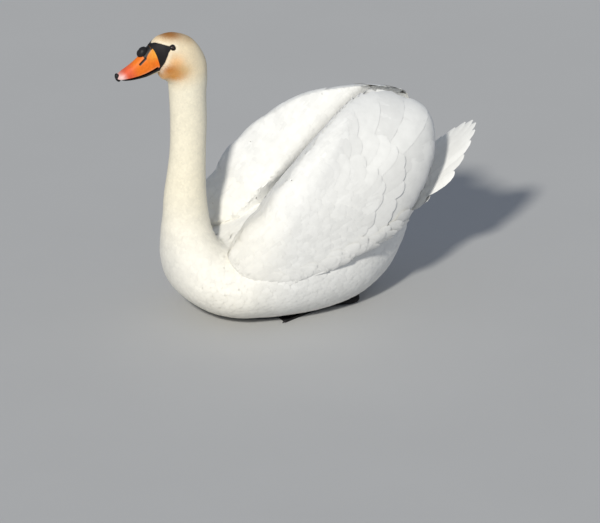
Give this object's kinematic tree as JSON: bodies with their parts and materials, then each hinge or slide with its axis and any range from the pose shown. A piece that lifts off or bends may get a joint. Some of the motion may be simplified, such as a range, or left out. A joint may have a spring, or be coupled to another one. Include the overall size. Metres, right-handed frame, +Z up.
{
  "type": "mute swan model",
  "caption": "Life-size mute swan resting on its belly, neck upright, wings arched over the back and tail raised, webbed feet tucked beneath.",
  "frame": {"origin": "middle of the flat of the belly, on the floor that the swan rests on", "axes": "+Z up, -Y the way the swan faces, +X its left side"},
  "size_m": [0.3436, 0.7493, 0.5819],
  "materials": {
    "white_plumage": "soft matt white feathers",
    "cream_plumage": "short matt cream feathers",
    "rust_plumage": "short matt cream feathers stained rust on the crown and cheeks",
    "black_skin": "bare black skin with a dull sheen",
    "orange_bill": "smooth orange horn with a soft sheen",
    "eye": "wet, very dark brown"
  },
  "bodies": {
    "root": {"trunk": "white_plumage", "neck_lower": "cream_plumage", "neck_middle": "cream_plumage", "neck_upper": "cream_plumage", "head": "rust_plumage", "face_mask": "black_skin", "bill_upper": "orange_bill", "bill_lower": "black_skin", "bill_nail": "black_skin", "bill_knob": "black_skin", "eye_left": "eye", "eye_right": "eye", "wing_left": "white_plumage", "wing_right": "white_plumage", "tail": "white_plumage", "leg_left": "black_skin", "leg_right": "black_skin"}
  },
  "joints": []
}
